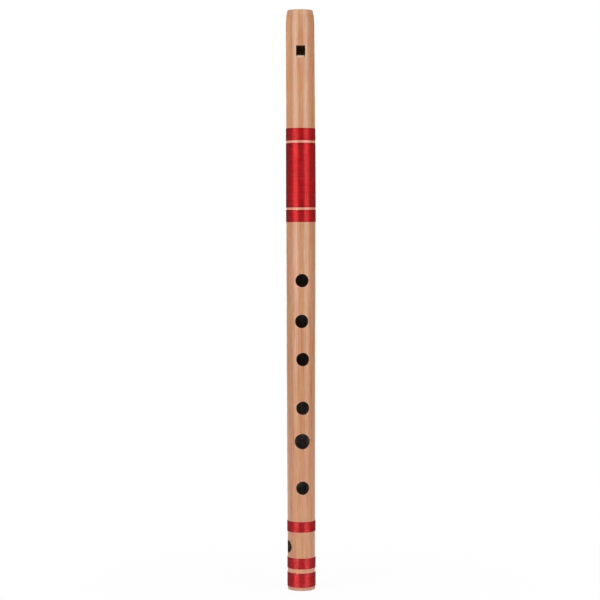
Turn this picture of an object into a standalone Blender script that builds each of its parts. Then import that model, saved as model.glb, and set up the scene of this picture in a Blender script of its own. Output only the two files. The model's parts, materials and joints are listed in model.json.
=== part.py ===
"""A straight bansuri: an end-blown bamboo fipple flute bound with red thread.

The flute stands on its foot, with its axis on +Z and its finger holes facing -Y.
Sizes are in metres. A height is measured up from the foot, and an azimuth is
measured from -Y towards +X, as seen by someone who faces the finger holes.
"""

import math

import bmesh
import bpy
import numpy as np
from mathutils import Vector

# Bamboo culm
LENGTH = 0.457
BELLY_RADIUS = 0.01159
BELLY_HEIGHT = 0.270
FOOT_TAPER = 0.00063
HEAD_TAPER = 0.00022
WALL = 0.00304
FOOT_ROUND = 0.0005
BORE_CHAMFER = 0.0004
FOOT_STATIONS = 6
HEAD_STATIONS = 2
TUBE_FACETS = 60

# Mouth end, shaved to a rounded taper that fits between the lips
MOUTH_TAPER = 0.00135
MOUTH_TAPER_LENGTH = 0.014
MOUTH_TAPER_POWER = 2.7
MOUTH_ROUND = 0.00015
MOUTH_STATIONS = 6

# Sound window, whose lower edge is the lip that splits the breath
WINDOW_FROM_HEAD = 0.0283
WINDOW_HEIGHT = 0.0074
WINDOW_WIDTH = 0.0070
WINDOW_AZIMUTH = -3.0
LIP_THICKNESS = 0.0006
LIP_RAMP = 0.0020

# Finger holes: height as a share of the sounding length, diameter, azimuth in degrees.
# The share sets the note, so it follows the length as a maker's layout stick does.
FINGER_HOLES = (
    (0.5821, 0.0101, -0.5),
    (0.5061, 0.0101, -2.0),
    (0.4349, 0.0101, 2.5),
    (0.3438, 0.0101, 2.6),
    (0.2814, 0.0117, 0.3),
    (0.1938, 0.0101, 1.8),
)
VENT_DIAMETER = 0.0093
VENT_AZIMUTH = -75.4
# A finger hole's edge is sanded for the fingertip. The vent's is left nearly as it was burned.
HOLE_FLARE = 0.00035
VENT_FLARE = 0.0001
HOLE_FLARE_DEPTH = 0.0012
HOLE_FACETS = 28

# Fipple plug, which leaves a flat windway under the bore's front wall
PLUG_GAP = 0.0003
PLUG_CHAMFER = 0.0003
WINDWAY_ENTRY = 0.0019
WINDWAY_EXIT = 0.0013
PLUG_FACETS = 44

# Thread bindings. The head group is placed down from the mouth end and the foot group
# up from the foot, each band from the one before it.
HEAD_GROUP_FROM_HEAD = 0.0924
HEAD_UPPER_HEIGHT = 0.0097
HEAD_MAIN_HEIGHT = 0.0506
HEAD_LOWER_HEIGHT = 0.0096
HEAD_BAND_SPACE = 0.0018
FOOT_BARE_RIM = 0.0026
FOOT_END_HEIGHT = 0.01135
FOOT_BAND_SPACE = 0.00335
FOOT_MIDDLE_HEIGHT = 0.00855
FOOT_UPPER_HEIGHT = 0.00835
VENT_ABOVE_MIDDLE_BAND = 0.0086
UPPER_BAND_ABOVE_VENT = 0.01205

# The thread lies in about five close turns to each strand of the model, over a plain core
BINDING_GAP = 0.0002
CORE_THICKNESS = 0.00015
STRAND_RISE = 0.0002
STRAND_PITCH = 0.0020
STRAND_GAP = 0.00045
LEAST_STRAND_GAP = 0.0004
BAND_MARGIN = 0.0003
BINDING_FACETS = 30

# How far a cutter runs past the surface that it cuts
CUT_PAST = 0.002

SMOOTH_ANGLE = math.radians(35)

# Sizes that follow
BORE_RADIUS = BELLY_RADIUS - WALL
WINDOW_TOP = LENGTH - WINDOW_FROM_HEAD
SOUNDING_LENGTH = WINDOW_TOP - WINDOW_HEIGHT
FOOT_END_BOTTOM = FOOT_BARE_RIM
FOOT_MIDDLE_BOTTOM = FOOT_END_BOTTOM + FOOT_END_HEIGHT + FOOT_BAND_SPACE
VENT_HEIGHT = FOOT_MIDDLE_BOTTOM + FOOT_MIDDLE_HEIGHT + VENT_ABOVE_MIDDLE_BAND
FOOT_UPPER_BOTTOM = VENT_HEIGHT + UPPER_BAND_ABOVE_VENT
HEAD_UPPER_BOTTOM = LENGTH - HEAD_GROUP_FROM_HEAD - HEAD_UPPER_HEIGHT
HEAD_MAIN_BOTTOM = HEAD_UPPER_BOTTOM - HEAD_BAND_SPACE - HEAD_MAIN_HEIGHT
HEAD_LOWER_BOTTOM = HEAD_MAIN_BOTTOM - HEAD_BAND_SPACE - HEAD_LOWER_HEIGHT


def culm_radius(height):
    """Outer radius of the culm, before the mouth end is shaved."""
    if height < BELLY_HEIGHT:
        away, taper = (BELLY_HEIGHT - height) / BELLY_HEIGHT, FOOT_TAPER
    else:
        away, taper = (height - BELLY_HEIGHT) / (LENGTH - BELLY_HEIGHT), HEAD_TAPER
    return BELLY_RADIUS - taper * (1 - math.cos(math.pi * min(away, 1))) / 2


def tube_radius(height):
    """Outer radius of the finished tube, with its mouth taper."""
    shaved = 1 - (LENGTH - height) / MOUTH_TAPER_LENGTH
    if shaved <= 0:
        return culm_radius(height)
    return culm_radius(height) - MOUTH_TAPER * shaved**MOUTH_TAPER_POWER


def clear_scene():
    for obj in list(bpy.data.objects):
        bpy.data.objects.remove(obj)


def make_material(name, color, roughness):
    material = bpy.data.materials.new(name)
    material.use_nodes = True
    shader = material.node_tree.nodes["Principled BSDF"]
    shader.inputs["Base Color"].default_value = (*color, 1)
    shader.inputs["Roughness"].default_value = roughness
    shader.inputs["Metallic"].default_value = 0
    return material


def add_object(name, form, location=(0, 0, 0)):
    """Turns the bmesh into an object that is shaded smooth up to its real edges."""
    bmesh.ops.recalc_face_normals(form, faces=form.faces)
    mesh = bpy.data.meshes.new(name)
    form.to_mesh(mesh)
    form.free()
    mesh.shade_smooth()
    mesh.set_sharp_from_angle(angle=SMOOTH_ANGLE)
    obj = bpy.data.objects.new(name, mesh)
    obj.location = location
    bpy.context.scene.collection.objects.link(obj)
    return obj


def spun(profile, facets):
    """Spins a closed outline of (radius, height) points once round +Z."""
    form = bmesh.new()
    points = [form.verts.new((radius, 0, height)) for radius, height in profile]
    edges = [form.edges.new((a, b)) for a, b in zip(points, points[1:] + points[:1])]
    bmesh.ops.spin(
        form,
        geom=points + edges,
        cent=(0, 0, 0),
        axis=(0, 0, 1),
        angle=math.tau,
        steps=facets,
        use_merge=True,
    )
    return form


def tube_profile():
    """Half section of the culm: out along the foot, up the outside, and down the bore."""
    foot = tube_radius(0)
    rim = tube_radius(LENGTH - MOUTH_ROUND)
    taper_start = LENGTH - MOUTH_TAPER_LENGTH
    profile = [(BORE_RADIUS + BORE_CHAMFER, 0), (foot - FOOT_ROUND, 0), (foot, FOOT_ROUND)]
    for step in range(1, FOOT_STATIONS + 1):
        height = BELLY_HEIGHT * step / FOOT_STATIONS
        profile.append((tube_radius(height), height))
    for step in range(1, HEAD_STATIONS + 1):
        height = BELLY_HEIGHT + (taper_start - BELLY_HEIGHT) * step / HEAD_STATIONS
        profile.append((tube_radius(height), height))
    for step in range(1, MOUTH_STATIONS):
        height = taper_start + (MOUTH_TAPER_LENGTH - MOUTH_ROUND) * step / MOUTH_STATIONS
        profile.append((tube_radius(height), height))
    profile += [
        (rim, LENGTH - MOUTH_ROUND),
        (rim - MOUTH_ROUND, LENGTH),
        (BORE_RADIUS + BORE_CHAMFER, LENGTH),
        (BORE_RADIUS, LENGTH - BORE_CHAMFER),
        (BORE_RADIUS, BORE_CHAMFER),
    ]
    return profile


def bridge(form, lower, upper):
    """Joins two rings of as many points with a band of faces."""
    for index, corner in enumerate(lower):
        after = (index + 1) % len(lower)
        form.faces.new((corner, lower[after], upper[after], upper[index]))


def as_cutter(obj):
    obj.hide_render = True
    obj.display_type = "WIRE"
    return obj


def hole_cutter(name, height, diameter, azimuth, flare):
    """A burned hole, whose eased edge flares out at the tube's surface."""
    radius = diameter / 2
    surface = tube_radius(height)
    inner = BORE_RADIUS / 2
    flare_start = surface - HOLE_FLARE_DEPTH
    outer = surface + CUT_PAST
    widening = flare * (outer - flare_start) / HOLE_FLARE_DEPTH
    form = bmesh.new()
    rings = []
    for ring_radius, reach in ((radius, inner), (radius, flare_start), (radius + widening, outer)):
        ring = bmesh.ops.create_circle(form, segments=HOLE_FACETS, radius=ring_radius)["verts"]
        bmesh.ops.translate(form, verts=ring, vec=(0, 0, reach))
        rings.append(ring)
    for lower, upper in zip(rings, rings[1:]):
        bridge(form, lower, upper)
    form.faces.new(rings[0])
    form.faces.new(rings[-1])
    cutter = add_object(name, form, (0, 0, height))
    cutter.rotation_euler = (math.pi / 2, 0, math.radians(azimuth))
    return as_cutter(cutter)


def window_cutter():
    """The window's outline from the side, with the ramp below its lip, drawn out to its width."""
    lip = BORE_RADIUS + LIP_THICKNESS
    outer = BELLY_RADIUS + CUT_PAST
    ramp_slope = LIP_RAMP / (tube_radius(SOUNDING_LENGTH) - lip)
    outline = (
        (BORE_RADIUS / 2, WINDOW_HEIGHT),
        (outer, WINDOW_HEIGHT),
        (outer, -ramp_slope * (outer - lip)),
        (lip, 0),
        (BORE_RADIUS / 2, 0),
    )
    form = bmesh.new()
    side = form.faces.new([form.verts.new((-WINDOW_WIDTH / 2, -r, z)) for r, z in outline])
    drawn = bmesh.ops.extrude_face_region(form, geom=[side])["geom"]
    moved = [v for v in drawn if isinstance(v, bmesh.types.BMVert)]
    bmesh.ops.translate(form, verts=moved, vec=(WINDOW_WIDTH, 0, 0))
    cutter = add_object("window_cutter", form, (0, 0, SOUNDING_LENGTH))
    cutter.rotation_euler = (0, 0, math.radians(WINDOW_AZIMUTH))
    return as_cutter(cutter)


def make_bamboo_tube(material):
    tube = add_object("bamboo_tube", spun(tube_profile(), TUBE_FACETS))
    tube.data.materials.append(material)
    cutters = [window_cutter()]
    for number, (share, diameter, azimuth) in enumerate(FINGER_HOLES, 1):
        name = f"finger_hole_cutter_{number}"
        cutters.append(hole_cutter(name, share * SOUNDING_LENGTH, diameter, azimuth, HOLE_FLARE))
    cutters.append(hole_cutter("vent_cutter", VENT_HEIGHT, VENT_DIAMETER, VENT_AZIMUTH, VENT_FLARE))
    for cutter in cutters:
        cut = tube.modifiers.new(cutter.name, "BOOLEAN")
        cut.operation = "DIFFERENCE"
        cut.solver = "EXACT"
        cut.object = cutter
    tube.modifiers.new("clean_shading", "WEIGHTED_NORMAL")
    return tube


def plug_section(form, radius, flat, height):
    """One cross-section of the plug: most of a circle, closed by the flat at y = -flat."""
    start = math.acos(flat / radius)
    ring = []
    for step in range(PLUG_FACETS + 1):
        angle = start + (math.tau - 2 * start) * step / PLUG_FACETS
        ring.append(form.verts.new((radius * math.sin(angle), -radius * math.cos(angle), height)))
    return ring


def make_fipple_plug(material):
    """A round stopper with a planed flat, flush with the mouth and ending at the window."""
    radius = BORE_RADIUS - PLUG_GAP
    length = LENGTH - WINDOW_TOP
    entry_flat = BORE_RADIUS - WINDWAY_ENTRY
    exit_flat = BORE_RADIUS - WINDWAY_EXIT
    form = bmesh.new()
    rings = [
        plug_section(form, radius, exit_flat, 0),
        plug_section(form, radius, entry_flat, length - PLUG_CHAMFER),
        plug_section(form, radius - PLUG_CHAMFER, entry_flat - PLUG_CHAMFER, length),
    ]
    for lower, upper in zip(rings, rings[1:]):
        bridge(form, lower, upper)
    form.faces.new(rings[0])
    form.faces.new(rings[-1])
    plug = add_object("fipple_plug", form, (0, 0, WINDOW_TOP))
    plug.rotation_euler = (0, 0, math.radians(WINDOW_AZIMUTH))
    plug.data.materials.append(material)
    return plug


def core_radii(height):
    """Inner and outer radius of a binding's core, clear of the tube's corners."""
    inner = (tube_radius(height) + BINDING_GAP) / math.cos(math.pi / BINDING_FACETS)
    return inner, inner + CORE_THICKNESS


def around(radius, step, height):
    angle = math.tau * step / BINDING_FACETS
    return Vector((radius * math.cos(angle), radius * math.sin(angle), height))


def least_gap(lows, crests, highs):
    """Least distance between a point of the strand and one at least half a turn on."""
    strand = np.array([lows, crests, highs]).transpose(1, 0, 2)
    nearest = math.inf
    for step in range(len(strand) - BINDING_FACETS // 2):
        later = strand[step + BINDING_FACETS // 2 :].reshape(-1, 1, 3)
        nearest = min(nearest, np.linalg.norm(later - strand[step], axis=2).min())
    return nearest


def make_binding(name, bottom, height, material):
    """A core sleeve with the strand wound up it as one unbroken ridge, tucked in at both ends."""
    wound = height - 2 * BAND_MARGIN + STRAND_GAP
    turns = max(1, round(wound / STRAND_PITCH) - 1)
    pitch = wound / (turns + 1)
    half_width = (pitch - STRAND_GAP) / 2
    steps = turns * BINDING_FACETS

    def on_core(step, rise, lift=0.0):
        return around(core_radii(bottom + rise)[1] + lift, step, rise)

    centres = [BAND_MARGIN + half_width + pitch * step / BINDING_FACETS for step in range(steps + 1)]
    low_points = [on_core(s, z - half_width) for s, z in enumerate(centres)]
    crest_points = [on_core(s, z, STRAND_RISE) for s, z in enumerate(centres)]
    high_points = [on_core(s, z + half_width) for s, z in enumerate(centres)]
    gap = least_gap(low_points, crest_points, high_points)
    print(f"{name}: {turns} turns, least gap of the strand to itself {gap * 1000:.2f} mm")
    if gap <= LEAST_STRAND_GAP:
        print(f"{name}: the strand's turns lie too close")

    form = bmesh.new()
    low = [form.verts.new(point) for point in low_points]
    crest = [form.verts.new(point) for point in crest_points]
    high = [form.verts.new(point) for point in high_points]
    for end in (0, steps):
        form.verts.remove(low[end])
        form.verts.remove(crest[end])
        form.verts.remove(high[end])
        low[end] = crest[end] = high[end] = form.verts.new(on_core(end, centres[end]))

    columns = range(BINDING_FACETS)
    inner_bottom = [form.verts.new(around(core_radii(bottom)[0], c, 0)) for c in columns]
    inner_top = [form.verts.new(around(core_radii(bottom + height)[0], c, height)) for c in columns]
    foot = [form.verts.new(on_core(c, 0)) for c in columns]
    brow = [form.verts.new(on_core(c, height)) for c in columns]

    def face(*corners):
        form.faces.new(list(dict.fromkeys(corners)))

    for step in range(steps):
        face(low[step], low[step + 1], crest[step + 1], crest[step])
        face(crest[step], crest[step + 1], high[step + 1], high[step])
    for step in range(steps - BINDING_FACETS):
        above = step + BINDING_FACETS
        face(high[step], high[step + 1], low[above + 1], low[above])
    last = steps - BINDING_FACETS
    for column in columns:
        after = (column + 1) % BINDING_FACETS
        wraps = after == 0
        starts = column == 0
        face(
            foot[column],
            foot[after],
            low[0] if wraps else low[column + 1],
            low[column + 1],
            low[column],
        )
        face(
            high[last + column],
            high[last + column + 1],
            brow[after],
            brow[column],
            high[steps] if starts else high[last + column],
        )
        face(inner_bottom[column], inner_bottom[after], foot[after], foot[column])
        face(inner_top[column], inner_top[after], brow[after], brow[column])
        face(inner_bottom[column], inner_bottom[after], inner_top[after], inner_top[column])
    binding = add_object(name, form, (0, 0, bottom))
    binding.data.materials.append(material)
    return binding


def main():
    clear_scene()
    bamboo = make_material("bamboo", (0.60, 0.33, 0.19), 0.42)
    plug_wood = make_material("plug_wood", (0.50, 0.31, 0.17), 0.6)
    make_bamboo_tube(bamboo)
    make_fipple_plug(plug_wood)
    bands = (
        ("head_binding_upper", HEAD_UPPER_BOTTOM, HEAD_UPPER_HEIGHT),
        ("head_binding_main", HEAD_MAIN_BOTTOM, HEAD_MAIN_HEIGHT),
        ("head_binding_lower", HEAD_LOWER_BOTTOM, HEAD_LOWER_HEIGHT),
        ("foot_binding_upper", FOOT_UPPER_BOTTOM, FOOT_UPPER_HEIGHT),
        ("foot_binding_middle", FOOT_MIDDLE_BOTTOM, FOOT_MIDDLE_HEIGHT),
        ("foot_binding_end", FOOT_END_BOTTOM, FOOT_END_HEIGHT),
    )
    for name, bottom, height in bands:
        thread = make_material(f"{name}_thread", (0.50, 0.015, 0.018), 0.35)
        make_binding(name, bottom, height, thread)


main()
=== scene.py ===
# %% [markdown]
# # A bamboo flute bound with red thread
#
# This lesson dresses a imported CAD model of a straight, end-blown bansuri. The real
# flute is one length of bamboo with burned finger holes, a wooden plug in its mouth
# end and six bindings of close-wound thread. The CAD gives every size and place. Here
# each piece is made again as a finer mesh in the same place, with its own finish.

# %% Load the frame
import json
import math
import random

import bpy
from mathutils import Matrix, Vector


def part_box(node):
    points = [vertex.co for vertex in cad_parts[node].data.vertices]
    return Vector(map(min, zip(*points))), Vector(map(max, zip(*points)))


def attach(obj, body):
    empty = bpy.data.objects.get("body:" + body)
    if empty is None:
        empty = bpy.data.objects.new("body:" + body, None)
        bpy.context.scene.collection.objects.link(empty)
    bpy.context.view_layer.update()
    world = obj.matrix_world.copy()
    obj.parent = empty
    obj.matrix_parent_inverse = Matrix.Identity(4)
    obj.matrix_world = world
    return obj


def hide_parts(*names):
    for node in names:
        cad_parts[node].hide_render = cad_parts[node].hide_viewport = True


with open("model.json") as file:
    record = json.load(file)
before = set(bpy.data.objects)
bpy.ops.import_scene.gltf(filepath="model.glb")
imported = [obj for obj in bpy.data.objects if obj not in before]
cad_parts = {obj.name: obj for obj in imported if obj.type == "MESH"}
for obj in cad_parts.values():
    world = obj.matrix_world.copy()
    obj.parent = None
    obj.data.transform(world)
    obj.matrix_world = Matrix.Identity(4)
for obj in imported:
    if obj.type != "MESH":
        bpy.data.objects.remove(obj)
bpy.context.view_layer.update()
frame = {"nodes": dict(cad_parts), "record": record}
print("CAD nodes:", ", ".join(sorted(frame["nodes"])))

# %% [markdown]
# ## The culm's sizes
#
# A culm is never a true cylinder. This one swells to a belly at mid height, thins
# towards its foot, and is shaved to a rounded taper at the mouth. The same few lengths
# shape the CAD tube, so they are repeated here in metres. An azimuth is measured from
# -Y, where the finger holes are, towards +X.

# %% Sizes of the bamboo
LENGTH = 0.457
BELLY_RADIUS = 0.01159
BELLY_HEIGHT = 0.270
FOOT_TAPER = 0.00063
HEAD_TAPER = 0.00022
BORE_RADIUS = 0.00855
FOOT_ROUND = 0.0005
BORE_CHAMFER = 0.0004
MOUTH_TAPER = 0.00135
MOUTH_TAPER_LENGTH = 0.014
MOUTH_TAPER_POWER = 2.7
MOUTH_ROUND = 0.00015


def culm_radius(height):
    """Outer radius before the mouth end is shaved: widest at the belly."""
    if height < BELLY_HEIGHT:
        away, taper = (BELLY_HEIGHT - height) / BELLY_HEIGHT, FOOT_TAPER
    else:
        away, taper = (height - BELLY_HEIGHT) / (LENGTH - BELLY_HEIGHT), HEAD_TAPER
    return BELLY_RADIUS - taper * (1 - math.cos(math.pi * min(away, 1))) / 2


def tube_radius(height):
    """Outer radius of the finished tube."""
    shaved = 1 - (LENGTH - height) / MOUTH_TAPER_LENGTH
    if shaved <= 0:
        return culm_radius(height)
    return culm_radius(height) - MOUTH_TAPER * shaved**MOUTH_TAPER_POWER


print(f"radius at foot, belly, mouth: {[round(tube_radius(z) * 1000, 2) for z in (0, BELLY_HEIGHT, LENGTH)]} mm")

# %% [markdown]
# ## A slight bow
#
# Bamboo straightened over a fire keeps a little of its old bends. All pieces share one
# function for them, so the bindings and the plug follow the tube. It leans one way above
# the middle and hardly at all below it, by three tenths of a millimetre at most, and both
# ends stay on the axis.

# %% The bow and the skin's waves
BOW = 0.0002
SECOND_BEND = 0.00015
WAVE = 0.00003


def bowed(x, y, height):
    """A point of the straight flute, moved sideways with the culm's bow."""
    along = math.pi * height / LENGTH
    return Vector((x + BOW * math.sin(along) - SECOND_BEND * math.sin(2 * along), y, height))


def around(radius, azimuth, height):
    """The point at a radius and azimuth (radians) from the bowed axis."""
    return bowed(radius * math.sin(azimuth), -radius * math.cos(azimuth), height)


def skin_radius(azimuth, height):
    """The outer radius with the faint waves of a natural skin, always a little inside the CAD."""
    slow = math.sin(2 * azimuth + 31 * height) + math.sin(3 * azimuth - 47 * height + 1.3)
    quick = 0.6 * math.sin(5 * azimuth + 83 * height + 0.7)
    return tube_radius(height) - WAVE * (1.3 - (slow + quick) / 2)


print(f"bow at mid height: {bowed(0, 0, LENGTH / 2).x * 1000:.1f} mm")

# %% [markdown]
# ## A shell that gathers points
#
# The tube could be cut with Booleans, but those leave long thin faces and sharp rims.
# It is woven point by point instead, so every hole gets an even ring of faces and a
# soft edge. A Shell collects points and faces. It also keeps painted values for each
# point, which the finish reads later: how charred, how far inside, and how freshly cut.
# The char value also darkens the rims of both ends, as painted shade at the mouth.

# %% The Shell helper
SMOOTH_ANGLE = math.radians(38)


class Shell:
    """Points, faces and painted values, gathered before they become one mesh."""

    def __init__(self, *paints):
        self.points = []
        self.faces = []
        self.paint = {name: [] for name in paints}

    def point(self, place, **values):
        """Adds a point and returns its number. A value that isn't given is 0."""
        self.points.append(place)
        for name, column in self.paint.items():
            column.append(values.get(name, 0.0))
        return len(self.points) - 1

    def band(self, lower, upper, closed=True):
        """Joins two rows of as many points with quads."""
        count = len(lower)
        for index in range(count if closed else count - 1):
            after = (index + 1) % count
            self.faces.append((lower[index], lower[after], upper[after], upper[index]))

    def bands(self, rows):
        for lower, upper in zip(rows, rows[1:]):
            self.band(lower, upper)

    def to_object(self, name, material):
        """Makes the object, shaded smooth up to its real edges."""
        mesh = bpy.data.meshes.new(name)
        mesh.from_pydata(self.points, [], self.faces)
        for paint, values in self.paint.items():
            mesh.attributes.new(paint, "FLOAT", "POINT").data.foreach_set("value", values)
        mesh.materials.append(material)
        mesh.validate()
        mesh.shade_smooth()
        mesh.set_sharp_from_angle(angle=SMOOTH_ANGLE)
        piece = bpy.data.objects.new(name, mesh)
        bpy.context.scene.collection.objects.link(piece)
        faces = len(mesh.polygons)
        print(f"{name}: {len(self.points)} points, {faces} faces")
        return piece


def finish_piece(piece, node):
    """Puts the piece in place of its CAD node, on the one body."""
    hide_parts(node)
    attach(piece, "root")


SLOTS = {part["node"]: part["material_slot"] for part in frame["record"]["subparts"]}
print("finishes:", ", ".join(sorted(set(SLOTS.values()))))

# %% [markdown]
# ## Wiring a finish
#
# Each finish is a small net of nodes. These helpers add a node, set its sockets, and
# give the common patterns: a noise stretched along the culm, a ramp, and a mix.

# %% Node helpers
def new_finish(name, **settings):
    """A material with its shader, whose fixed settings are set on the shader's own sockets."""
    material = bpy.data.materials.new(name)
    material.use_nodes = True
    shader = material.node_tree.nodes["Principled BSDF"]
    for socket, value in settings.items():
        shader.inputs[socket.replace("_", " ")].default_value = value
    return material, shader


def add_node(material, kind, settings=(), **inputs):
    """Adds a node. An input is a value or another node's output socket."""
    node = material.node_tree.nodes.new(kind)
    for key, value in dict(settings).items():
        setattr(node, key, value)
    for key, value in inputs.items():
        socket = node.inputs[int(key[2:])] if key.startswith("in") and key[2:].isdigit() else node.inputs[key]
        if isinstance(value, bpy.types.NodeSocket):
            material.node_tree.links.new(value, socket)
        else:
            socket.default_value = value
    return node


def link(material, output, socket):
    material.node_tree.links.new(output, socket)


def stretched_noise(material, scale, stretch, detail=2.0, roughness=0.5, distortion=0.0):
    """Noise in metres, drawn out along the culm. stretch is how many times longer than wide."""
    place = add_node(material, "ShaderNodeTexCoord").outputs["Object"]
    mapping = add_node(material, "ShaderNodeMapping", Vector=place, Scale=(1, 1, 1 / stretch))
    noise = add_node(
        material,
        "ShaderNodeTexNoise",
        Vector=mapping.outputs["Vector"],
        Scale=scale,
        Detail=detail,
        Roughness=roughness,
        Distortion=distortion,
    )
    return noise.outputs["Fac"]


def ramp(material, value, *stops):
    """A colour ramp through (position, colour) stops."""
    node = add_node(material, "ShaderNodeValToRGB", Fac=value)
    elements = node.color_ramp.elements
    elements[0].position, elements[-1].position = stops[0][0], stops[-1][0]
    for _ in stops[2:]:
        elements.new(0.5)
    for element, (position, color) in zip(elements, stops):
        element.position = position
        element.color = (*color, 1)
    return node.outputs["Color"]


def remap(material, value, low, high, to_low, to_high, way="LINEAR"):
    """Maps a value from one span to another, and holds it there."""
    node = add_node(material, "ShaderNodeMapRange", {"interpolation_type": way}, Value=value)
    for socket, number in zip(("From Min", "From Max", "To Min", "To Max"), (low, high, to_low, to_high)):
        node.inputs[socket].default_value = number
    return node.outputs["Result"]


def blend(material, factor, below, above, mode="MIX"):
    """Mixes two colours."""
    node = add_node(material, "ShaderNodeMix", {"data_type": "RGBA", "blend_type": mode})
    for socket, value in ((node.inputs[0], factor), (node.inputs[6], below), (node.inputs[7], above)):
        if isinstance(value, bpy.types.NodeSocket):
            link(material, value, socket)
        else:
            socket.default_value = (*value, 1) if isinstance(value, tuple) else value
    return node.outputs[2]


def arithmetic(material, operation, first, second=0.0):
    node = add_node(material, "ShaderNodeMath", {"operation": operation}, in0=first, in1=second)
    return node.outputs[0]


def painted(material, name):
    """A value painted on the points."""
    node = add_node(material, "ShaderNodeAttribute", {"attribute_name": name})
    return node.outputs["Fac"]


def bump(material, height, strength, distance):
    node = add_node(material, "ShaderNodeBump", Height=height, Strength=strength, Distance=distance)
    return node.outputs["Normal"]


print("node helpers ready")

# %% [markdown]
# ## The bamboo's finish
#
# Bamboo skin is tan with fine lengthwise fibres, a few darker streaks and slow patches
# of gold and rose, under a thin clear lacquer. Towards the mouth its flanks are painted
# lighter and more golden: painted side light. Both ends are worn paler and greyer, with
# dark specks; at the mouth this pale zone also covers the top of the shaved taper as
# painted light from above. The narrow rings between two bindings are painted paler, and
# the skin beside every binding lighter and pinker: painted light. Holes are burned
# through, so they are charred inside. The bore is a duller brown, painted darker behind
# the finger holes and the vent as painted shade, and the cut ends show the pale core with
# its dots of fibre. One finish does all of it: the painted values choose between the
# colours.

# %% Bamboo finish
SKIN_PALE = (0.620, 0.329, 0.192)
SKIN_TAN = (0.562, 0.267, 0.145)
SKIN_DARK = (0.416, 0.165, 0.073)
SKIN_WORN_AND_LIT = (0.690, 0.475, 0.310)
CHAR_BROWN = (0.088, 0.032, 0.015)
CHAR_BLACK = (0.012, 0.009, 0.008)
BORE_PALE = (0.500, 0.350, 0.160)
BORE_DARK = (0.340, 0.220, 0.095)
BORE_SHADE_PALE = (0.268, 0.180, 0.170)
BORE_SHADE_DARK = (0.172, 0.112, 0.106)
BORE_SHADE_THIN = (0.390, 0.330, 0.300)
THIN_LOW = 0.075
THIN_HIGH = 0.190
BORE_SHADE_LOW = 0.010
BORE_SHADE_HIGH = 0.385
BORE_SHADE_EASE = 0.022
CUT_PALE = (0.830, 0.600, 0.440)
CUT_DOT = (0.300, 0.180, 0.110)
WORN_AND_LIT_MOUTH = 0.0055
MOUTH_WEAR_AND_LIGHT = 0.72
WORN_FOOT = 0.0022
FOOT_ROSE = (0.97, 0.88, 1.12)
FOOT_DARK_REACH = 0.0018
MOUTH_TOUCHED = 0.0034
MOUTH_DULL = (0.82, 0.81, 0.77)
FOOT_DULL = (0.74, 0.80, 0.82)
# Tone along the height: partly the culm's own, and lighter at the foot as painted light.
TINT_STOPS = (
    (0.060, (0.98, 0.99, 0.99)),
    (0.105, (0.93, 0.91, 0.90)),
    (0.165, (0.88, 0.85, 0.76)),
    (0.250, (0.92, 0.94, 0.96)),
    (0.390, (0.92, 0.96, 0.96)),
)
TINT_GOLD = (0.98, 0.98, 0.86)
TINT_ROSE = (1.00, 0.96, 1.00)
BLUSH_GREEN = (0.97, 1.00, 0.95)
BLUSH_RED = (1.00, 0.89, 0.87)
# Painted side light: colours that make the flanks of the upper half lighter and warmer.
LEFT_FLANK_LIGHT = (1.36, 1.39, 1.30)
RIGHT_FLANK_LIGHT = (1.22, 1.17, 0.96)
SIDE_FROM = 0.0078
SIDE_FULL = 0.0100
SIDE_LOW = 0.24
SIDE_HIGH = 0.36
GAP_PAINTED_LIGHT = (1.24, 1.16, 1.32)
GAP_LIGHT_EDGE = 0.0003
GAP_LIGHT_WIDTH = 0.0018
NEIGHBOURS = 0.005
BESIDE = 0.0014
BESIDE_BINDING_GLOW = (1.22, 0.98, 1.14)
BANDS = sorted((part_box(node)[0].z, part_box(node)[1].z) for node in SLOTS if "binding" in node)


def object_height(material, axis="Z"):
    place = add_node(material, "ShaderNodeTexCoord").outputs["Object"]
    return add_node(material, "ShaderNodeSeparateXYZ", Vector=place).outputs[axis]


def beside_bindings(material):
    """1 at the edges of every binding, easing to 0 a millimetre away."""
    height = object_height(material)
    rings = 0.0
    for low, high in BANDS:
        above = remap(material, height, high, high + BESIDE, 1, 0)
        below = remap(material, height, low - BESIDE, low, 0, 1)
        ring = arithmetic(material, "MINIMUM", above, below)
        rings = arithmetic(material, "MAXIMUM", rings, ring)
    return rings


def between_bindings(material):
    """1 on a narrow ring of skin between two bindings, less on a wider one, else 0."""
    height = object_height(material)
    rings = 0.0
    for (_, low), (high, _) in zip(BANDS, BANDS[1:]):
        if high - low < NEIGHBOURS:
            most = min(1.0, GAP_LIGHT_WIDTH / (high - low))
            above = remap(material, height, low - GAP_LIGHT_EDGE, low, 0, most)
            below = remap(material, height, high, high + GAP_LIGHT_EDGE, 1, 0)
            ring = arithmetic(material, "MULTIPLY", above, below)
            rings = arithmetic(material, "ADD", rings, ring)
    return rings


def worn_and_lit_ends(material):
    """1 at both ends, easing to 0 a few millimetres in, with ragged edges."""
    height = object_height(material)
    # Real wear at the mouth's rim, and painted light from above over the top of the shaved taper.
    mouth = remap(material, height, LENGTH - WORN_AND_LIT_MOUTH, LENGTH, 0, MOUTH_WEAR_AND_LIGHT)
    foot = remap(material, height, 0, WORN_FOOT, 1, 0)
    ragged = stretched_noise(material, 900, 2, detail=3, roughness=0.7)
    ends = arithmetic(material, "ADD", mouth, foot)
    ends = arithmetic(material, "ADD", ends, remap(material, ragged, 0.3, 0.7, -0.5, 0.3))
    return remap(material, ends, 0.1, 0.8, 0, 0.9)


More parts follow.
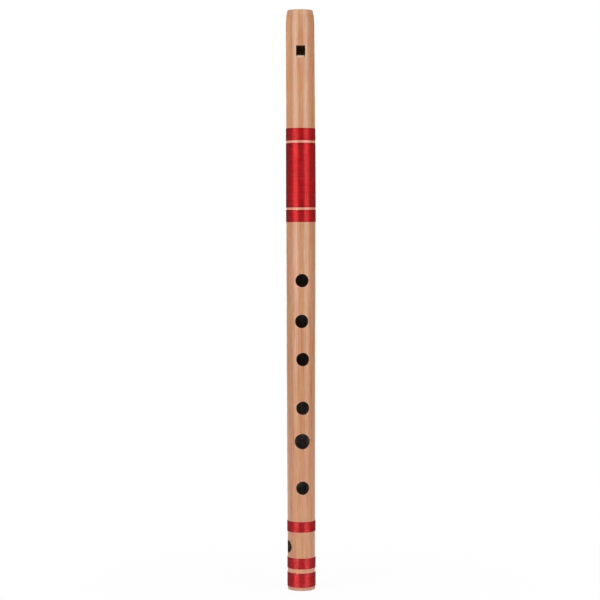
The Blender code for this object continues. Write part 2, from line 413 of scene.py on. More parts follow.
def bamboo_finish():
    material, shader = new_finish("bamboo_finish", Specular_IOR_Level=0.6)
    fibre = stretched_noise(material, 2600, 40, detail=3, roughness=0.6)
    streak = stretched_noise(material, 900, 45, detail=3, roughness=0.65)
    patch = stretched_noise(material, 70, 5, detail=3)
    skin = ramp(material, streak, (0.28, SKIN_DARK), (0.46, SKIN_TAN), (0.75, SKIN_PALE))
    tone = ramp(material, patch, (0.3, (0.90, 0.86, 0.82)), (0.7, (1.0, 1.0, 1.0)))
    skin = blend(material, 0.6, skin, tone, "MULTIPLY")
    line = ramp(material, fibre, (0.36, (0.72, 0.62, 0.55)), (0.50, (1.0, 1.0, 1.0)))
    skin = blend(material, 0.45, skin, line, "MULTIPLY")
    tint = ramp(material, object_height(material), *TINT_STOPS)
    skin = blend(material, 1.0, skin, tint, "MULTIPLY")
    mottle = stretched_noise(material, 190, 9, detail=2, roughness=0.6)
    hue = ramp(material, mottle, (0.38, TINT_GOLD), (0.62, TINT_ROSE))
    skin = blend(material, 1.0, skin, hue, "MULTIPLY")
    spots = stretched_noise(material, 210, 2.5, detail=2, roughness=0.6)
    blush = ramp(material, spots, (0.42, BLUSH_GREEN), (0.66, BLUSH_RED))
    skin = blend(material, 1.0, skin, blush, "MULTIPLY")
    # Painted side light on the left and right flanks of the upper half.
    head = remap(material, object_height(material), SIDE_LOW, SIDE_HIGH, 0, 1)
    for way, color in ((-1, LEFT_FLANK_LIGHT), (1, RIGHT_FLANK_LIGHT)):
        side = remap(material, object_height(material, "X"), way * SIDE_FROM, way * SIDE_FULL, 0, 1)
        skin = blend(material, arithmetic(material, "MULTIPLY", side, head), skin, color, "MULTIPLY")
    # Painted light: the skin beside every binding is painted lighter and pinker, a rose glow.
    skin = blend(material, beside_bindings(material), skin, BESIDE_BINDING_GLOW, "MULTIPLY")
    # Painted light: the narrow rings between two bindings, shaded by the thread, are painted paler.
    skin = blend(material, between_bindings(material), skin, GAP_PAINTED_LIGHT, "MULTIPLY")
    specks = stretched_noise(material, 2200, 1.5, detail=2, roughness=0.6)
    # The worn colour of both ends, which at the mouth is also painted light.
    wear_and_painted_light = ramp(material, specks, (0.32, SKIN_DARK), (0.43, SKIN_WORN_AND_LIT))
    by_foot = remap(material, object_height(material), 2 * WORN_FOOT, 3 * WORN_FOOT, 1, 0)
    wear_and_painted_light = blend(material, by_foot, wear_and_painted_light, FOOT_ROSE, "MULTIPLY")
    by_mouth = remap(material, object_height(material), LENGTH - MOUTH_TOUCHED, LENGTH - MOUTH_TOUCHED / 2, 0, 1)
    wear_and_painted_light = blend(material, by_mouth, wear_and_painted_light, MOUTH_DULL, "MULTIPLY")
    # Darker and greyer over the lowest two millimetres, by the floor.
    by_floor = remap(material, object_height(material), FOOT_DARK_REACH / 2, FOOT_DARK_REACH, 1, 0)
    wear_and_painted_light = blend(material, by_floor, wear_and_painted_light, FOOT_DULL, "MULTIPLY")
    skin = blend(material, worn_and_lit_ends(material), skin, wear_and_painted_light)

    place = add_node(material, "ShaderNodeTexCoord").outputs["Object"]
    dots = add_node(material, "ShaderNodeTexVoronoi", Vector=place, Scale=1300.0).outputs["Distance"]
    ends = ramp(material, dots, (0.16, CUT_DOT), (0.34, CUT_PALE))
    color = blend(material, painted(material, "cut"), skin, ends)
    bore = ramp(material, streak, (0.35, BORE_DARK), (0.60, BORE_PALE))
    # Painted shade in the bore: darker from just above the foot to below the window, behind the holes and the vent, and
    # less dark low down.
    bore_shade = ramp(material, streak, (0.35, BORE_SHADE_DARK), (0.60, BORE_SHADE_PALE))
    thin = remap(material, object_height(material), THIN_LOW, THIN_HIGH, 0.9, 0)
    bore_shade = blend(material, thin, bore_shade, BORE_SHADE_THIN)
    above = remap(material, object_height(material), BORE_SHADE_LOW, BORE_SHADE_LOW + BORE_SHADE_EASE, 0, 1)
    below = remap(material, object_height(material), BORE_SHADE_HIGH, BORE_SHADE_HIGH + BORE_SHADE_EASE, 1, 0)
    bore = blend(material, arithmetic(material, "MULTIPLY", above, below), bore, bore_shade)
    color = blend(material, painted(material, "inside"), color, bore)
    ragged = stretched_noise(material, 1500, 3, detail=3, roughness=0.7)
    burn = arithmetic(material, "ADD", painted(material, "char"), remap(material, ragged, 0.3, 0.7, -0.15, 0.15))
    color = blend(material, remap(material, burn, 0.12, 0.55, 0, 1), color, CHAR_BROWN)
    color = blend(material, remap(material, burn, 0.7, 1.1, 0, 1), color, CHAR_BLACK)
    link(material, color, shader.inputs["Base Color"])

    satin = remap(material, streak, 0.3, 0.7, 0.35, 0.28)
    matt = remap(material, painted(material, "char"), 0.05, 0.35, 0, 0.4)
    matt = arithmetic(material, "ADD", matt, remap(material, painted(material, "inside"), 0, 1, 0, 0.4))
    rough = arithmetic(material, "ADD", satin, matt)
    link(material, rough, shader.inputs["Roughness"])
    grain = arithmetic(material, "ADD", fibre, arithmetic(material, "MULTIPLY", streak, 1.5))
    link(material, bump(material, grain, 0.5, 0.00006), shader.inputs["Normal"])
    return material


BAMBOO = bamboo_finish()
print("bamboo finish:", len(BAMBOO.node_tree.nodes), "nodes")

# %% [markdown]
# ## The openings
#
# Each opening sits in a patch of the tube's grid. The patch is a window of whole
# columns and rows, and its border is walked once round, side by side. A point's place
# on that walk gives the matching point of the opening's outline: on a circle for a
# burned hole, or on the same side of the rectangle for the sound window.

# %% Sizes of the openings
WINDOW_FROM_HEAD = 0.0283
WINDOW_HEIGHT = 0.0074
WINDOW_WIDTH = 0.0070
WINDOW_AZIMUTH = -3.0
LIP_THICKNESS = 0.0006
LIP_RAMP = 0.0020
WINDOW_TOP = LENGTH - WINDOW_FROM_HEAD
SOUNDING_LENGTH = WINDOW_TOP - WINDOW_HEIGHT
FINGER_HOLES = (
    (0.5821, 0.0101, -0.5),
    (0.5061, 0.0101, -2.0),
    (0.4349, 0.0101, 2.5),
    (0.3438, 0.0101, 2.6),
    (0.2814, 0.0117, 0.3),
    (0.1938, 0.0101, 1.8),
)
VENT = (0.03445, 0.0093, -75.4)
HOLE_ROUND = 0.00038
VENT_ROUND = 0.00012
HOLE_OVAL = 0.015
CORNER_ROUND = 0.0004
RIM_PALE = 0.2
VENT_SINGED = 0.35

openings = [("hole", share * SOUNDING_LENGTH, width, azimuth) for share, width, azimuth in FINGER_HOLES]
openings.append(("vent", *VENT))
openings.append(("window", SOUNDING_LENGTH + WINDOW_HEIGHT / 2, WINDOW_WIDTH, WINDOW_AZIMUTH))
print("openings at", [round(height * 1000, 1) for _, height, _, _ in openings], "mm")

# %% [markdown]
# ## The grid
#
# Rows are packed so that a row falls on the upper and lower border of each patch.
# Columns are three degrees apart, and a patch is centred on the column nearest to its
# opening.

# %% Rows and columns
COLUMNS = 120
ROW_PITCH = 0.0021
PATCH_REACH = 0.009
PATCH_COLUMNS = 17
PATCH_RINGS = 7


def row_heights():
    marks = [FOOT_ROUND, LENGTH - MOUTH_ROUND, LENGTH - MOUTH_TAPER_LENGTH]
    for _, height, _, _ in openings:
        marks += [height - PATCH_REACH, height + PATCH_REACH]
    marks.sort()
    heights = []
    for low, high in zip(marks, marks[1:]):
        pitch = ROW_PITCH if low < LENGTH - MOUTH_TAPER_LENGTH else ROW_PITCH / 2
        pitch = pitch / 2 if any(abs(low + PATCH_REACH - o[1]) < 1e-9 for o in openings) else pitch
        steps = max(1, math.ceil((high - low) / pitch))
        heights += [low + (high - low) * step / steps for step in range(steps)]
    return heights + [marks[-1]]


ROWS = row_heights()


def patch_of(opening):
    """The patch's first column, last column, first row and last row."""
    _, height, _, azimuth = opening
    middle = round(azimuth * COLUMNS / 360)
    low = min(range(len(ROWS)), key=lambda row: abs(ROWS[row] - height + PATCH_REACH))
    high = min(range(len(ROWS)), key=lambda row: abs(ROWS[row] - height - PATCH_REACH))
    return middle - PATCH_COLUMNS, middle + PATCH_COLUMNS, low, high


def border_walk(patch):
    """Once round the border from its lower left corner: (column, row, side, share of the side)."""
    left, right, low, high = patch
    wide, tall = right - left, high - low
    walk = [(left + step, low, 0, step / wide) for step in range(wide)]
    walk += [(right, low + step, 1, step / tall) for step in range(tall)]
    walk += [(right - step, high, 2, step / wide) for step in range(wide)]
    walk += [(left, high - step, 3, step / tall) for step in range(tall)]
    return walk


print(f"grid: {COLUMNS} columns, {len(ROWS)} rows, {len(openings)} patches")

# %% [markdown]
# ## Outlines
#
# An outline turns the walk into (across, up) offsets from the opening's centre. A hole
# burned by hand is round only nearly, so its radius wanders by a few hundredths of a
# millimetre. The window's corners are eased a little.

# %% Outline of a hole and of the window
def hole_outline(radius, side, share):
    turn = math.radians(-135 + 90 * (side + share))
    wander = 1 + 0.004 * math.sin(3 * turn + radius * 9000) + 0.003 * math.sin(5 * turn + 1)
    across = radius * (wander - HOLE_OVAL) * math.cos(turn)
    return across, radius * (wander + HOLE_OVAL) * math.sin(turn)


def window_outline(width, low, high, side, share):
    """A rectangle from low to high, whose corners are eased."""
    half = width / 2
    across = (-half + width * share, half, half - width * share, -half)[side]
    up = (low, low + (high - low) * share, high, high - (high - low) * share)[side]
    over_x = abs(across) - (half - CORNER_ROUND)
    over_y = max(low + CORNER_ROUND - up, up - (high - CORNER_ROUND))
    if over_x > 0 and over_y > 0:
        pull = CORNER_ROUND / math.hypot(over_x, over_y)
        across = math.copysign(half - CORNER_ROUND + over_x * pull, across)
        middle = (low + high) / 2
        up = middle + math.copysign((high - low) / 2 - CORNER_ROUND + over_y * pull, up - middle)
    return across, up


print("a hole's first point:", [round(v * 1000, 2) for v in hole_outline(0.005, 0, 0)], "mm")

# %% [markdown]
# ## Rings through the wall
#
# From the outline on the skin, rings go round the soft rim, down the wall and out onto
# the bore. A point that is across and up from the centre, and out from the axis, is
# turned to the opening's azimuth. The rim is a curve from the skin to the wall that
# leans on the sharp corner between them.

# %% Rings of one opening
RIM_STEPS = 5
WALL_STEPS = 4
BOTTOM = 0


def through(opening, across, up, out):
    """A point across and up from the opening's centre, and out from the axis along its drill."""
    _, height, _, azimuth = opening
    turn = math.radians(azimuth)
    x = out * math.sin(turn) + across * math.cos(turn)
    y = -out * math.cos(turn) + across * math.sin(turn)
    return bowed(x, y, height + up)


def skin_out(opening, across, up):
    """How far out the skin lies at that place."""
    _, height, _, azimuth = opening
    radius = tube_radius(height + up)
    turn = math.asin(across / radius)
    radius = skin_radius(math.radians(azimuth) + turn, height + up)
    return math.sqrt(radius**2 - across**2)


def bore_out(across):
    return math.sqrt(BORE_RADIUS**2 - across**2)


def rim_paint(kind, side, t):
    """Painted values across the rim: a sanded edge that turns to char, or the pale pared ramp of the lip."""
    if kind == "window" and side == BOTTOM:
        return {"cut": t}
    if kind == "window":
        return {"cut": RIM_PALE * (1 - t), "char": t}
    if kind == "vent":
        return {"char": VENT_SINGED + 0.55 * t}
    return {"cut": RIM_PALE * (1 - t), "char": 0.15 + 0.8 * t}


def wall_paint(kind, side, t):
    """Painted values down the wall: charred in a burned hole, pale on the ramp."""
    if kind == "window" and side == BOTTOM:
        return {"cut": 1.0}
    return {"char": 0.95 - 0.2 * t, "inside": 0.3 * t}


def opening_rings(opening, walk):
    """Rings of (place, painted values) from the skin to the bore, and the two flat outlines."""
    kind, _, width, _ = opening
    rings = []
    skin_edge, bore_edge = [], []
    for _, _, side, share in walk:
        if kind != "window":
            drop = HOLE_ROUND if kind == "hole" else VENT_ROUND
            edge = hole_outline(width / 2 + drop, side, share)
            wall = hole_outline(width / 2, side, share)
            wall_low = wall
        else:
            half = WINDOW_HEIGHT / 2
            edge = window_outline(width + HOLE_ROUND, -half - LIP_RAMP, half + HOLE_ROUND / 2, side, share)
            wall_low = window_outline(width, -half, half, side, share)
            wall = window_outline(width, -half - LIP_RAMP * 0.9, half, side, share)
            drop = HOLE_ROUND / 2
        start = through(opening, *edge, skin_out(opening, *edge))
        corner = through(opening, *wall, skin_out(opening, *wall))
        end = through(opening, *wall, skin_out(opening, *wall) - drop)
        column = []
        for step in range(RIM_STEPS + 1):
            t = step / RIM_STEPS
            place = start * (1 - t) ** 2 + corner * 2 * t * (1 - t) + end * t**2
            column.append((place, rim_paint(kind, side, t)))
        lip = bore_out(wall_low[0]) + LIP_THICKNESS
        top = skin_out(opening, *wall) - drop
        for step in range(1, WALL_STEPS + 1):
            t = step / WALL_STEPS
            across = wall[0] + (wall_low[0] - wall[0]) * t
            up = wall[1] + (wall_low[1] - wall[1]) * t
            place = through(opening, across, up, top + (lip - top) * t)
            column.append((place, wall_paint(kind, side, t)))
        column.append((through(opening, *wall_low, bore_out(wall_low[0])), {"char": 0.7, "inside": 0.6}))
        rings.append(column)
        skin_edge.append(edge)
        bore_edge.append(wall_low)
    return list(zip(*rings)), skin_edge, bore_edge


sample = border_walk(patch_of(openings[0]))
print(f"each opening has {RIM_STEPS + WALL_STEPS + 2} rings of {len(sample)} points")

# %% [markdown]
# ## Weaving the tube
#
# The outer skin and the bore are two grids with the same rows and columns. Each patch
# is left open in both, then filled with rings that change from the patch's border to
# the opening's outline. The two ends close with a rounded edge, the cut face and a
# small chamfer into the bore.

# %% Weave the grids, the patches and the ends
# How dark the rims of the ends are painted through their char value: painted shade on the mouth's rounding, and a
# darker bottom rim at the foot.
MOUTH_EDGE_SHADE = 0.30
FOOT_EDGE_DARK = 0.36


def weave_grid(shell, radius_at, inside, covered):
    """One row of point numbers for each height. A point inside a patch is None."""
    grid = []
    for row, height in enumerate(ROWS):
        line = []
        for column in range(COLUMNS):
            azimuth = math.tau * column / COLUMNS
            if (column, row) in covered["points"]:
                line.append(None)
            else:
                place = around(radius_at(azimuth, height), azimuth, height)
                line.append(shell.point(place, inside=inside))
        grid.append(line)
    for row in range(len(ROWS) - 1):
        for column in range(COLUMNS):
            if (column, row) in covered["cells"]:
                continue
            after = (column + 1) % COLUMNS
            shell.faces.append((grid[row][column], grid[row][after], grid[row + 1][after], grid[row + 1][column]))
    return grid


def weave_patch(shell, grid, walk, opening, outline, edge_ring, radius_at, inside=0.0, scorch=0.0, pale=0.0, singed=0.0):
    """Rings from the patch's border to the opening's edge, all on the surface."""
    _, height, _, azimuth = opening
    border = [grid[row][column % COLUMNS] for column, row, _, _ in walk]
    rings = [border]
    for ring in range(1, PATCH_RINGS):
        toward = 1 - (1 - ring / PATCH_RINGS) ** 1.6
        line = []
        for (column, row, _, _), (across, up) in zip(walk, outline):
            radius = radius_at(math.radians(azimuth), height + up)
            edge_turn = math.radians(azimuth) + math.asin(across / radius)
            grid_turn = math.tau * column / COLUMNS
            turn = grid_turn + (edge_turn - grid_turn) * toward
            rise = ROWS[row] + (height + up - ROWS[row]) * toward
            last_ring = max(0.0, 7 * toward - 6)
            char = scorch * max(0.0, 2 * toward - 1) + singed * last_ring
            cut = pale * last_ring
            place = around(radius_at(turn, rise), turn, rise)
            line.append(shell.point(place, char=char, inside=inside, cut=cut))
        rings.append(line)
    rings.append(edge_ring)
    shell.bands(rings)


def weave_end(shell, outer, inner, height, inward, rounding, edge_dark):
    """Closes an end: rounded edge, cut face, chamfer. inward is -1 at the mouth and 1 at the foot."""
    rows = [outer]
    rim = height + inward * rounding
    for share in (0.25, 0.5, 0.75, 1.0):
        turn = math.pi / 2 * share
        rows.append([])
        for column in range(COLUMNS):
            azimuth = math.tau * column / COLUMNS
            radius = skin_radius(azimuth, rim) - rounding * (1 - math.cos(turn))
            level = rim - inward * rounding * math.sin(turn)
            rows[-1].append(shell.point(around(radius, azimuth, level), cut=share, char=edge_dark * share))
    for share in (0.3, 0.65, 1.0):
        rows.append([])
        for column in range(COLUMNS):
            azimuth = math.tau * column / COLUMNS
            start = skin_radius(azimuth, rim) - rounding
            radius = start + (BORE_RADIUS + BORE_CHAMFER - start) * share
            rows[-1].append(shell.point(around(radius, azimuth, height), cut=1.0, char=edge_dark * (1 - share)))
    rows.append(inner)
    shell.bands(rows)


def make_tube():
    shell = Shell("char", "inside", "cut")
    covered = {"points": set(), "cells": set()}
    for opening in openings:
        left, right, low, high = patch_of(opening)
        inner_points = [(c, r) for c in range(left + 1, right) for r in range(low + 1, high)]
        cells = [(c, r) for c in range(left, right) for r in range(low, high)]
        covered["points"].update((c % COLUMNS, r) for c, r in inner_points)
        covered["cells"].update((c % COLUMNS, r) for c, r in cells)

    def bore_at(azimuth, height):
        return BORE_RADIUS

    skin = weave_grid(shell, skin_radius, 0.0, covered)
    bore = weave_grid(shell, bore_at, 1.0, covered)
    for opening in openings:
        walk = border_walk(patch_of(opening))
        rings, skin_edge, bore_edge = opening_rings(opening, walk)
        numbers = [[shell.point(place, **values) for place, values in ring] for ring in rings]
        pale, singed = (0.0, VENT_SINGED) if opening[0] == "vent" else (RIM_PALE, 0.0)
        weave_patch(shell, skin, walk, opening, skin_edge, numbers[0], skin_radius, pale=pale, singed=singed)
        shell.bands(numbers)
        weave_patch(shell, bore, walk, opening, bore_edge, numbers[-1], bore_at, inside=1.0, scorch=0.7)
    weave_end(shell, skin[-1], bore[-1], LENGTH, -1, MOUTH_ROUND, MOUTH_EDGE_SHADE)
    weave_end(shell, skin[0], bore[0], 0, 1, FOOT_ROUND, FOOT_EDGE_DARK)
    return shell.to_object("bamboo_tube_piece", BAMBOO)


tube = make_tube()
finish_piece(tube, "bamboo_tube")

# %% [markdown]
# ## The plug
#
# A turned wooden stopper closes the mouth end. One side is planed flat, which leaves
# the windway under the front wall. Each cross-section is a circle with a flat, drawn
# as one ring, and the rings ease in at the top edge.

# %% Plug finish
PLUG_PALE = (0.560, 0.330, 0.180)
PLUG_DARK = (0.330, 0.165, 0.080)


def plug_finish():
    material, shader = new_finish("plug_wood_finish", Specular_IOR_Level=0.25)
    place = add_node(material, "ShaderNodeTexCoord").outputs["Object"]
    rings = add_node(
        material,
        "ShaderNodeTexWave",
        {"wave_type": "RINGS", "rings_direction": "Z"},
        Vector=add_node(material, "ShaderNodeMapping", Vector=place, Location=(0.013, 0.009, 0)).outputs["Vector"],
        Scale=260.0,
        Distortion=2.5,
        Detail=2.0,
    ).outputs["Fac"]
    pores = stretched_noise(material, 3000, 25, detail=2, roughness=0.6)
    wood = ramp(material, rings, (0.1, PLUG_DARK), (0.6, PLUG_PALE))
    wood = blend(material, 0.5, wood, ramp(material, pores, (0.35, (0.55, 0.5, 0.45)), (0.55, (1, 1, 1))), "MULTIPLY")
    link(material, wood, shader.inputs["Base Color"])
    link(material, remap(material, pores, 0.3, 0.7, 0.7, 0.5), shader.inputs["Roughness"])
    link(material, bump(material, pores, 0.5, 0.00005), shader.inputs["Normal"])
    return material


PLUG_WOOD = plug_finish()
print("plug finish:", len(PLUG_WOOD.node_tree.nodes), "nodes")

# %% Plug shape
PLUG_RADIUS = BORE_RADIUS - 0.00006
PLUG_ROUND = 0.00035
WINDWAY_ENTRY = 0.0019
WINDWAY_EXIT = 0.0013
PLUG_POINTS = 110
FLAT_POINTS = 14


def plug_ring(shell, shrink, flat, height):
    """One cross-section: most of a circle, then back along the flat."""
    radius = PLUG_RADIUS - shrink
    start = math.acos((flat - shrink) / radius)
    outline = []
    for step in range(PLUG_POINTS + 1):
        angle = start + (math.tau - 2 * start) * step / PLUG_POINTS
        outline.append((radius * math.sin(angle), -radius * math.cos(angle)))
    (x0, y0), (x1, _) = outline[-1], outline[0]
    outline += [(x0 + (x1 - x0) * step / FLAT_POINTS, y0) for step in range(1, FLAT_POINTS)]
    turn = math.radians(WINDOW_AZIMUTH)
    ring = []
    for x, y in outline:
        turned = (x * math.cos(turn) - y * math.sin(turn), x * math.sin(turn) + y * math.cos(turn))
        ring.append(shell.point(bowed(*turned, height)))
    return ring


def make_plug():
    shell = Shell()
    sections = []
    for share in (0.0, 0.35, 1.0):
        sections.append((PLUG_ROUND * (1 - share), WINDOW_TOP + PLUG_ROUND * share))
    for step in range(1, 10):
        sections.append((0.0, WINDOW_TOP + (LENGTH - 0.0002 - WINDOW_TOP) * step / 10))
    for turn in (0, 30, 60, 90):
        angle = math.radians(turn)
        level = LENGTH - 0.0002 - PLUG_ROUND * (1 - math.sin(angle))
        sections.append((PLUG_ROUND * (1 - math.cos(angle)), level))
    rings = []
    for shrink, height in sections:
        share = (height - WINDOW_TOP) / (LENGTH - WINDOW_TOP)
        flat = BORE_RADIUS - WINDWAY_EXIT + (WINDWAY_EXIT - WINDWAY_ENTRY) * share
        rings.append(plug_ring(shell, shrink, flat, height))
    shell.bands(rings)
    for ring, share in ((rings[0], 0.5), (rings[-1], 0.5)):
        middle = sum((shell.points[number] for number in ring), Vector()) / len(ring)
        inner = [shell.point(middle.lerp(shell.points[number], share)) for number in ring]
        shell.band(ring, inner)
        centre = shell.point(middle)
        for index, number in enumerate(inner):
            shell.faces.append((number, inner[(index + 1) % len(inner)], centre))
    return shell.to_object("fipple_plug_piece", PLUG_WOOD)


plug = make_plug()
finish_piece(plug, "fipple_plug")

# %% [markdown]
# ## The thread's finish
#
# The thread is glossy and deep red, like silk or nylon. Most of its shine is red, because
# light goes into the fibres and comes back coloured, as it does from metal. So the body
# is a red metallic layer, broad and dark towards its edges, under a thin clear coat for
# the paler gleam. A value painted on each turn makes some turns darker than others. It
# also carries painted shade: darker turns at each binding's edge, a darker left flank on
# the head bindings, darker foot bindings and a deep red underlayer. A second painted
# value mixes in a paler, pinker red as painted sheen, turn by turn and most at the foot.

# %% Thread finish
THREAD_RED = (0.595, 0.002, 0.005)
THREAD_DEEP = (0.200, 0.002, 0.004)
THREAD_SHEEN_COLOR = (0.470, 0.056, 0.062)


def thread_finish():
    material, shader = new_finish(
        "red_thread_finish",
        Metallic=1.0,
        Specular_Tint=(0.30, 0.03, 0.04, 1),
        Coat_Weight=0.205,
        Coat_IOR=1.9,
        Coat_Roughness=0.06,
    )
    twist = add_node(
        material,
        "ShaderNodeTexNoise",
        Vector=add_node(material, "ShaderNodeTexCoord").outputs["Object"],
        Scale=2200.0,
        Detail=2.0,
    ).outputs["Fac"]
    shade = painted(material, "shade")
    # Painted sheen: streaks along the turns, painted brighter and paler.
    sheen = stretched_noise(material, 110, 0.17, detail=2)
    wear_and_painted_light = remap(material, sheen, 0.3, 0.7, -0.08, 0.08)
    color = ramp(material, arithmetic(material, "ADD", shade, wear_and_painted_light), (0.0, THREAD_DEEP), (1.0, THREAD_RED))
    # Painted sheen: a paler, pinker red mixed in, turn by turn and most at the foot.
    faded = arithmetic(material, "ADD", painted(material, "faded"), remap(material, sheen, 0.3, 0.7, -0.12, 0.12))
    color = blend(material, remap(material, faded, 0, 1, 0, 1), color, THREAD_SHEEN_COLOR)
    link(material, color, shader.inputs["Base Color"])
    slack = stretched_noise(material, 70, 0.8, detail=1)
    link(material, remap(material, slack, 0.3, 0.7, 0.35, 0.53), shader.inputs["Roughness"])
    uneven = stretched_noise(material, 170, 0.9, detail=2)
    height = arithmetic(material, "ADD", uneven, arithmetic(material, "MULTIPLY", twist, 0.02))
    link(material, bump(material, height, 0.5, 0.0005), shader.inputs["Normal"])
    return material


THREAD = thread_finish()
print("thread finish:", len(THREAD.node_tree.nodes), "nodes")

# %% [markdown]
# ## Winding a binding
#
# A real binding is one thread, wound so closely that its turns touch. The CAD stands
# for it with a few wide strands, and here it is wound in full: one long tube bent round
# the bamboo over a thin underlayer. The first turn lies level and crosses over its own
# tucked end, so the band's edge is straight. Further in, the step from turn to turn
# eases out into an even climb. Turns sit a little high or low and not quite evenly, as
# they do by hand.

# %% Wind the thread
THREAD_WIDTH = 0.00036
THREAD_DEPTH = 0.00016
UNDER_GAP = 0.00002
UNDER_DEPTH = 0.00014
TURN_POINTS = 64
THREAD_SIDES = 8
FOOT_PAINTED_SHEEN = 0.16
FOOT_SHADE = 0.9
TUCK = 0.35
EASING_TURNS = 6
BAND_EDGE_SHADE = 0.65
EDGE_TURNS = 2.6
FLANK_FROM = 0.72
LEFT_FLANK_SHADE = 0.35


def smooth_step(value):
    value = min(1.0, max(0.0, value))
    return value * value * (3 - 2 * value)


def climb(whole, part, last):
    """How many pitches the thread has climbed, after whole turns and a part of the next."""
    early = max(0.0, 1 - whole / EASING_TURNS)
    late = max(0.0, 1 - (last - whole) / EASING_TURNS)
    step_first = smooth_step(part / TUCK)
    step_last = smooth_step((part - 1 + TUCK) / TUCK)
    gained = early * step_first + late * step_last + (1 - early - late) * part
    return min(last - 1.0, max(0.0, whole - 1 + gained))


def wound_path(low, high, dice):
    """Points of the winding, with the thread's half width, shade and painted sheen at each."""
    half = THREAD_WIDTH / 2
    rows = round((high - low) / THREAD_WIDTH)
    pitch = (high - low - THREAD_WIDTH) / (rows - 1)
    turns = rows + 1
    lift = [dice.gauss(0, 0.000016) for _ in range(turns + 2)]
    slip = [dice.gauss(0, 0.000020) for _ in range(turns + 2)]
    tint = [min(1.0, max(0.25, dice.gauss(0.80, 0.07))) for _ in range(turns + 2)]
    turn_sheen = [max(0.0, dice.gauss(0.02, 0.12)) for _ in range(turns + 2)]
    for step in range(turns * TURN_POINTS + 1):
        whole, part = divmod(step / TURN_POINTS, 1)
        whole = int(whole)

        def eased(values):
            return values[whole] + (values[whole + 1] - values[whole]) * part

        tuck = smooth_step(min(whole + part, turns - whole - part) / TUCK)
        height = low + half + pitch * climb(whole, part, turns - 1) + eased(slip)
        height = min(max(height, low + half), high - half)
        from_edge = min(height - low, high - height) / pitch
        shoulder = 0.00004 * math.exp(-from_edge)
        sunk = (1 - tuck) * THREAD_DEPTH
        core = tube_radius(height) + UNDER_GAP + UNDER_DEPTH
        radius = core + THREAD_DEPTH / 4 + eased(lift) - shoulder - sunk
        width = half * (0.35 + 0.65 * tuck)
        # Painted shade: the turns near each edge of a binding are painted darker.
        shade = eased(tint) * (1 - BAND_EDGE_SHADE * math.exp(-from_edge / EDGE_TURNS))
        yield radius, math.tau * part, height, width, shade, eased(turn_sheen)


def make_binding(node, seed):
    low, high = (corner.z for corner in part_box(node))
    dice = random.Random(seed)
    shell = Shell("shade", "faded")
    # At the foot the thread is painted paler and pinker (painted sheen) and darker (painted shade).
    at_foot = node.startswith("foot")
    faded = FOOT_PAINTED_SHEEN if at_foot else 0.0
    shaded = FOOT_SHADE if at_foot else 1.0
    dark = 0.0 if at_foot else LEFT_FLANK_SHADE
    start = dice.uniform(0, math.tau)
    rings = []
    for radius, turn, height, width, tint, turn_sheen in wound_path(low, high, dice):
        ring = []
        for side in range(THREAD_SIDES):
            angle = math.tau * side / THREAD_SIDES
            out = radius + width * THREAD_DEPTH / THREAD_WIDTH * math.cos(angle)
            place = around(out, start + turn, height + width * math.sin(angle))
            # Painted shade: on the head bindings the left flank is painted darker.
            flank = smooth_step((-place.x / out - FLANK_FROM) / (1 - FLANK_FROM))
            shade = tint * shaded * (1 - dark * flank)
            ring.append(shell.point(place, shade=shade, faded=faded + turn_sheen))
        rings.append(ring)
    shell.bands(rings)
    shell.faces += [tuple(rings[0]), tuple(rings[-1])]
    # The underlayer is painted deep red at shade 0.2: painted shade in the grooves between turns.
    rows = []
    inset = THREAD_WIDTH * 0.3
    for depth, height in ((0, low + inset), (UNDER_DEPTH, low + inset), (UNDER_DEPTH, high - inset), (0, high - inset)):
        radius = tube_radius(height) + UNDER_GAP + depth
        angles = [math.tau * column / COLUMNS for column in range(COLUMNS)]
        rows.append([shell.point(around(radius, angle, height), shade=0.2, faded=faded) for angle in angles])
    shell.bands(rows + rows[:1])
    piece = shell.to_object(f"{node}_piece", THREAD)
    finish_piece(piece, node)
    return piece


for seed, node in enumerate(sorted(name for name in SLOTS if "binding" in name), 11):
    make_binding(node, seed)

# %% [markdown]
# ## Floor, backdrop and light
#
# The flute stands on a plain pale floor in a white studio. The camera sees white on
# every side. A shiny surface sees the white backdrop only behind the flute, and plain
# grey in front, so that the thread and the lacquer have something darker to reflect
# between the lamps. The floor near the flute is part plain diffuse, so it holds the
# flute's shadow.

# %% Floor and world
FLOOR_SIZE = 8.0
FLOOR_POINTS = 64
WHITE_NEAR = 0.95
SHADOW_REACH = 0.35
WORLD_LIGHT = 0.14
BACKDROP_EDGE = 0.92
BACKDROP_FULL = 0.98


def seen_white(material, behind):
    """1 for camera rays, and for glossy and transmission rays as far as the place is behind, else 0."""
    path = add_node(material, "ShaderNodeLightPath")
    shiny = arithmetic(material, "MAXIMUM", path.outputs["Is Glossy Ray"], path.outputs["Is Transmission Ray"])
    shiny = arithmetic(material, "MULTIPLY", shiny, behind)
    return arithmetic(material, "MAXIMUM", path.outputs["Is Camera Ray"], shiny)


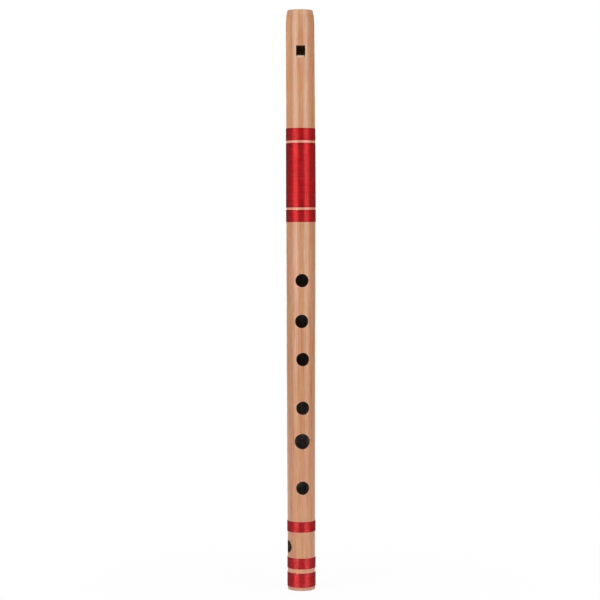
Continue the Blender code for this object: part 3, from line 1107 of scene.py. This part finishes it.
def make_floor():
    material, shader = new_finish("pale_floor", Specular_IOR_Level=0.0, Roughness=0.9)
    shader.inputs["Base Color"].default_value = (0.9, 0.9, 0.9, 1)
    place = add_node(material, "ShaderNodeTexCoord").outputs["Object"]
    distance = add_node(material, "ShaderNodeVectorMath", {"operation": "LENGTH"}, in0=place).outputs["Value"]
    away = add_node(material, "ShaderNodeSeparateXYZ", Vector=place).outputs["Y"]
    behind = remap(material, away, -0.3, -0.02, 0, 1, "SMOOTHSTEP")
    white = remap(material, distance, 0, SHADOW_REACH, WHITE_NEAR, 1, "SMOOTHSTEP")
    white = arithmetic(material, "MULTIPLY", white, seen_white(material, behind))
    glow = add_node(material, "ShaderNodeEmission").outputs["Emission"]
    mix = add_node(material, "ShaderNodeMixShader", in0=white, in1=shader.outputs[0], in2=glow)
    link(material, mix.outputs[0], material.node_tree.nodes["Material Output"].inputs["Surface"])
    shell = Shell()
    centre = shell.point(Vector((0, 0, 0)))
    rings = []
    for radius in (0.1, 0.5, 2.0, FLOOR_SIZE):
        angles = [math.tau * step / FLOOR_POINTS for step in range(FLOOR_POINTS)]
        rings.append([shell.point(Vector((radius * math.cos(a), radius * math.sin(a), 0))) for a in angles])
    for index, number in enumerate(rings[0]):
        shell.faces.append((centre, number, rings[0][(index + 1) % FLOOR_POINTS]))
    shell.bands(rings)
    shell.to_object("floor", material)


def make_world():
    world = bpy.data.worlds.new("studio")
    bpy.context.scene.world = world
    world.use_nodes = True
    direction = add_node(world, "ShaderNodeTexCoord").outputs["Generated"]
    away = add_node(world, "ShaderNodeSeparateXYZ", Vector=direction).outputs["Y"]
    behind = remap(world, away, BACKDROP_EDGE, BACKDROP_FULL, 0, 1, "SMOOTHSTEP")
    background = world.node_tree.nodes["Background"]
    background.inputs["Color"].default_value = (1, 1, 1, 1)
    link(world, remap(world, seen_white(world, behind), 0, 1, WORLD_LIGHT, 1), background.inputs["Strength"])


make_floor()
make_world()
print("floor and world made")

# %% [markdown]
# ## Camera and lamps
#
# The photograph looks at the flute from a little to the left of its finger holes, with
# the lens a little above the middle of the flute and tilted down. The lamps are placed
# by their angle from the camera's direction, so that they shine where the photograph's
# highlights lie.

# %% Camera and lamps
VIEW_AZIMUTH = math.radians(-4.8)
VIEW_DISTANCE = 1.3585
VIEW_HEIGHT = 0.2809
AIM_HEIGHT = 0.2296
VIEW_SIDE = 0.0006
VIEW_ROLL = math.radians(-0.16)
LENS = 103.2


def toward(azimuth, distance, height):
    return Vector((distance * math.sin(azimuth), -distance * math.cos(azimuth), height))


def aim(obj, target):
    obj.rotation_euler = (target - obj.location).to_track_quat("-Z", "Y").to_euler()


def make_camera():
    data = bpy.data.cameras.new("camera")
    data.lens = LENS
    data.sensor_width = 36
    camera = bpy.data.objects.new("camera", data)
    bpy.context.scene.collection.objects.link(camera)
    across = Vector((math.cos(VIEW_AZIMUTH), math.sin(VIEW_AZIMUTH), 0)) * -VIEW_SIDE
    camera.location = toward(VIEW_AZIMUTH, VIEW_DISTANCE, VIEW_HEIGHT) + across
    aim(camera, toward(0, 0, AIM_HEIGHT) + across)
    camera.rotation_euler.rotate_axis("Z", VIEW_ROLL)
    bpy.context.scene.camera = camera


def make_lamp(name, angle, width, tall, height, power, away=1.1):
    data = bpy.data.lights.new(name, "AREA")
    data.shape = "RECTANGLE"
    data.size = width
    data.size_y = tall
    data.energy = power
    lamp = bpy.data.objects.new(name, data)
    bpy.context.scene.collection.objects.link(lamp)
    lamp.location = toward(VIEW_AZIMUTH + math.radians(angle), away, height)
    aim(lamp, Vector((0, 0, 0.25)))
    lamp.visible_camera = False


make_camera()
make_lamp("left_soft", -44.5, 0.83, 1.0, 0.48, 5.8)
make_lamp("left_key", -39.5, 0.57, 1.0, 0.48, 3.5)
make_lamp("right_soft", 48, 0.92, 1.0, 0.48, 4.7)
make_lamp("right_key", 43, 0.53, 1.0, 0.48, 3.5)
make_lamp("back_lamp", 180, 0.60, 1.0, 0.50, 8.0)
make_lamp("top_lamp", 0, 0.50, 0.5, 1.50, 3.2, away=0.1)
bpy.context.scene.view_settings.view_transform = "Standard"
print("camera and six lamps made")
